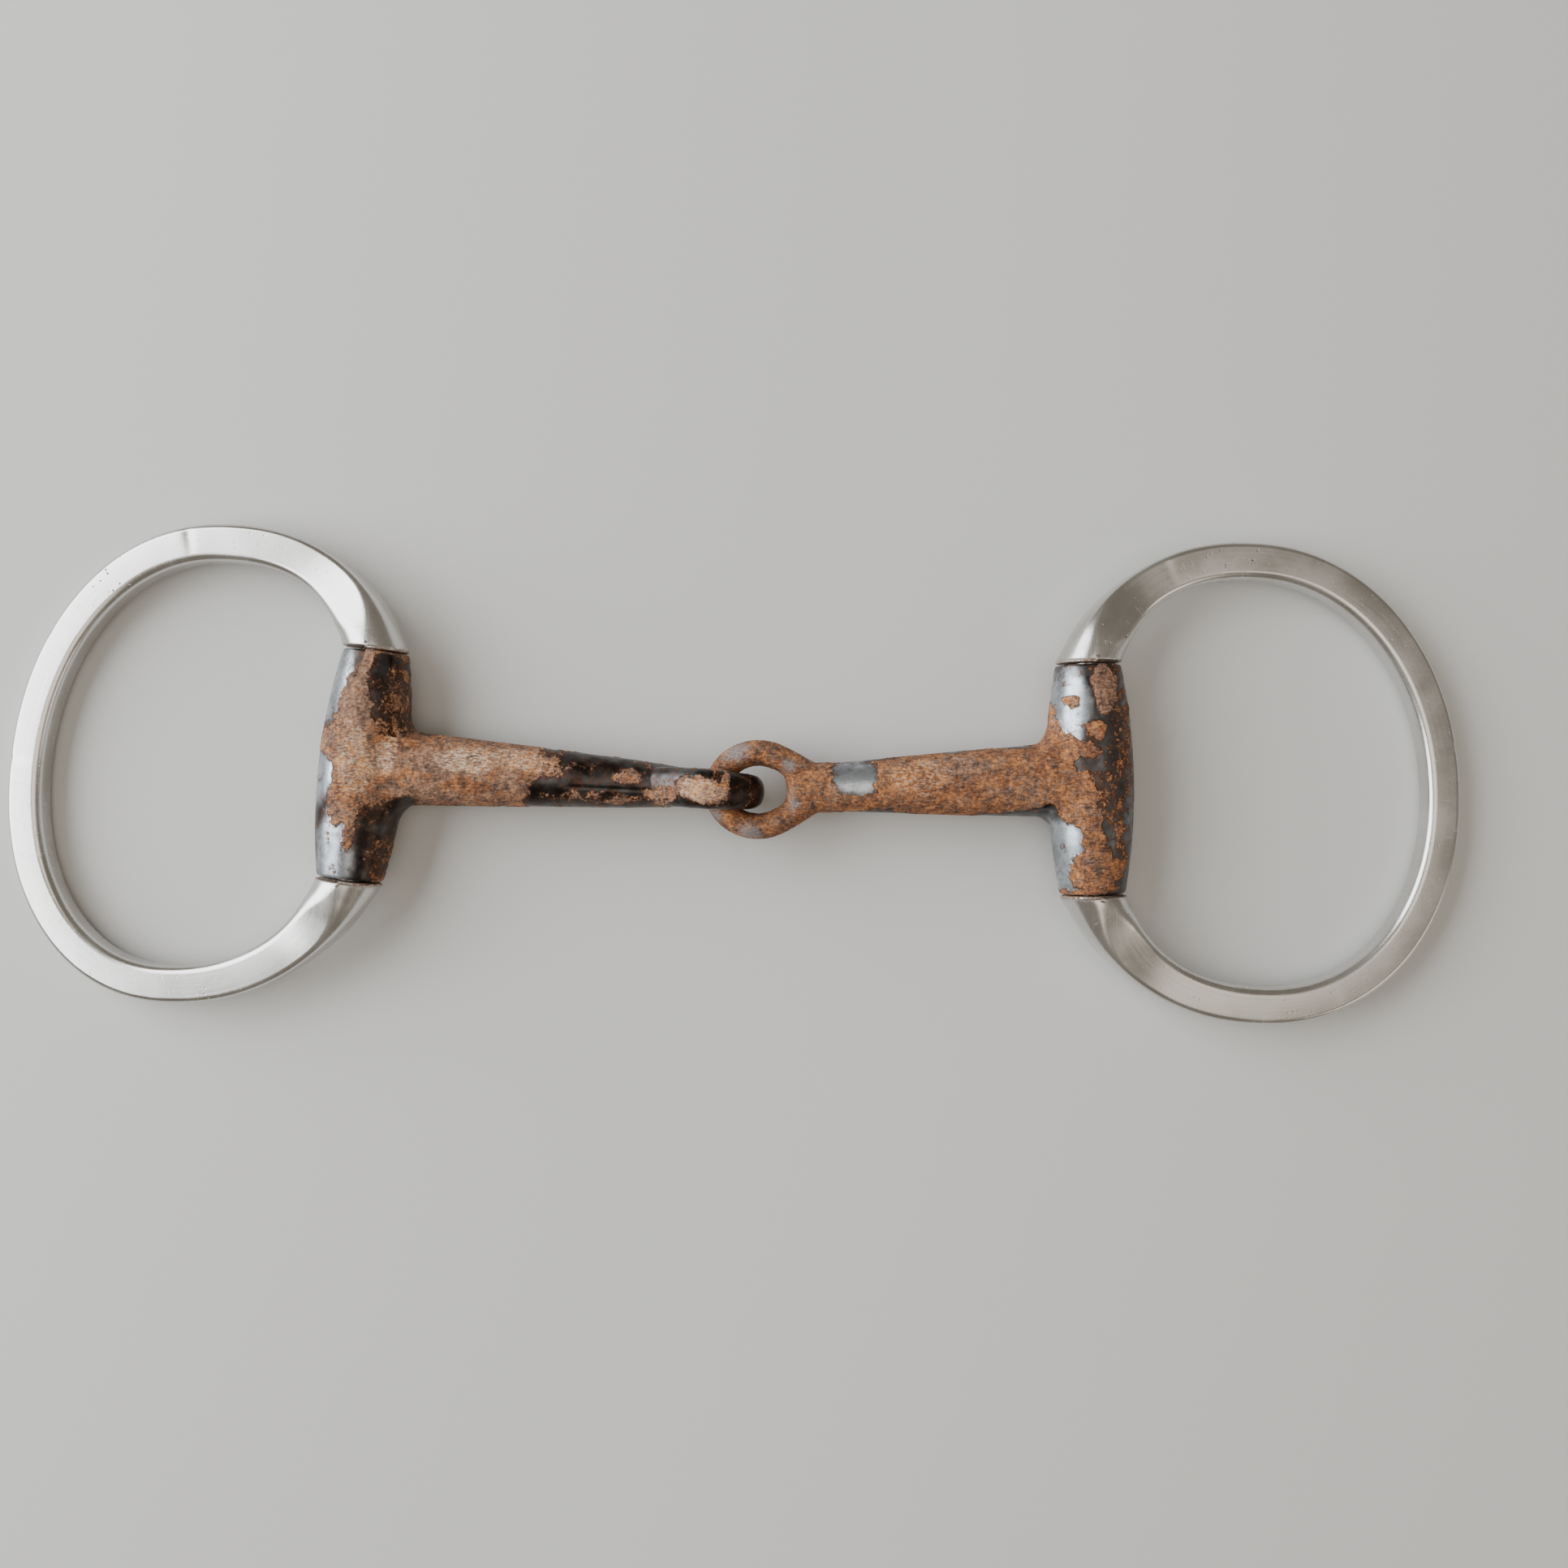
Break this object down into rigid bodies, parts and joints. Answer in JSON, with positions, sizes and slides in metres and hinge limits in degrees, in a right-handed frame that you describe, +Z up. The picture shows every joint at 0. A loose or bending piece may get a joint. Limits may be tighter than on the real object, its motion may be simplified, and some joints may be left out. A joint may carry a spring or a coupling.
{
  "type": "snaffle bit",
  "caption": "Single-jointed eggbutt snaffle bit: flat steel rings hinged on bulged barrels, with a rusted sweet-iron mouthpiece linked eye through eye.",
  "frame": {"origin": "on the surface the bit lies on, under the centre of its outline seen from above", "axes": "+X along the mouthpiece from the left ring to the right ring, +Y along the barrels, +Z up from the surface the bit lies on"},
  "size_m": [0.2714, 0.0928, 0.0183],
  "materials": {
    "ring_steel": "worn satin stainless steel with fine scratches and small pits",
    "sweet_iron": "blue-black oxide with patches of granular orange-brown rust",
    "pin_steel": "plain turned steel"
  },
  "bodies": {
    "left_arm": {"left_mouthpiece_arm": "sweet_iron"},
    "right_arm": {"right_mouthpiece_arm": "sweet_iron"},
    "left_cheek": {"left_ring": "ring_steel", "left_hinge_pin": "pin_steel"},
    "right_cheek": {"right_ring": "ring_steel", "right_hinge_pin": "pin_steel"}
  },
  "joints": [
    {"name": "centre_link", "type": "hinge", "parent": "left_arm", "child": "right_arm", "pos_m": [-0.0029, -0.00306, 0.00928], "axis": [0, -1, 0], "range_deg": [-75, 75]},
    {"name": "left_ring_swing", "type": "hinge", "parent": "left_arm", "child": "left_cheek", "pos_m": [-0.06845, 0.0017, 0.0081], "axis": [0.1175, 0.9931, 0], "range_deg": [-95, 95]},
    {"name": "right_ring_swing", "type": "hinge", "parent": "right_arm", "child": "right_cheek", "pos_m": [0.06595, -0.0009, 0.0081], "axis": [0.0209, -0.9998, 0], "range_deg": [-95, 95]}
  ]
}
